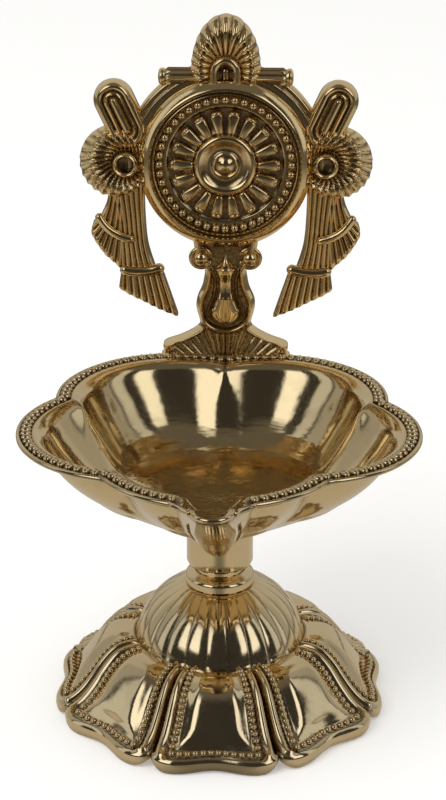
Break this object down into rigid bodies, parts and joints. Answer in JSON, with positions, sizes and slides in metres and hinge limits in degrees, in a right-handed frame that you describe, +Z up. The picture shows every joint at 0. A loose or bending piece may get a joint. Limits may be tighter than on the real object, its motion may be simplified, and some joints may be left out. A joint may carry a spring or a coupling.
{
  "type": "aarti lamp",
  "caption": "Brass aarti oil lamp: lobed bowl with a pouring spout on a hollow lotus foot, with an upright wheel emblem plate at the back of the rim.",
  "frame": {"origin": "on the lamp's axis, at the flat underside of the foot on the table", "axes": "+Z up along the stem, -Y towards the spout, +Y towards the wheel plate, +X to the right seen from the spout"},
  "size_m": [0.0888, 0.0943, 0.15],
  "materials": {
    "polished_brass": "polished",
    "antiqued_brass": "polished, dark in the recesses",
    "zinc_steel": "zinc plated",
    "screw_brass": "machined"
  },
  "bodies": {
    "foot": {"lotus_foot": "polished_brass", "foot_collar": "polished_brass"},
    "lamp": {"bowl": "polished_brass", "stem": "polished_brass", "stem_stud": "zinc_steel", "wheel_plate": "antiqued_brass", "plate_screws": "screw_brass"},
    "washer": {"stud_washer": "zinc_steel"},
    "nut": {"stud_nut": "zinc_steel"}
  },
  "joints": [
    {"name": "bowl_turn", "type": "hinge", "parent": "foot", "child": "lamp", "pos_m": [0, 0, 0.03], "axis": [0, 0, 1], "continuous": true},
    {"name": "washer_drop", "type": "slide", "parent": "lamp", "child": "washer", "axis": [0, 0, -1], "range_m": [0, 0.0075]},
    {"name": "nut_turn", "type": "hinge", "parent": "washer", "child": "nut", "pos_m": [0, 0, 0.022], "axis": [0, 0, 1], "range_deg": [0, 2700]}
  ],
  "couplings": [
    {"joint": "nut_turn", "follows": "washer_drop", "rad_per_m": 6283.2}
  ]
}
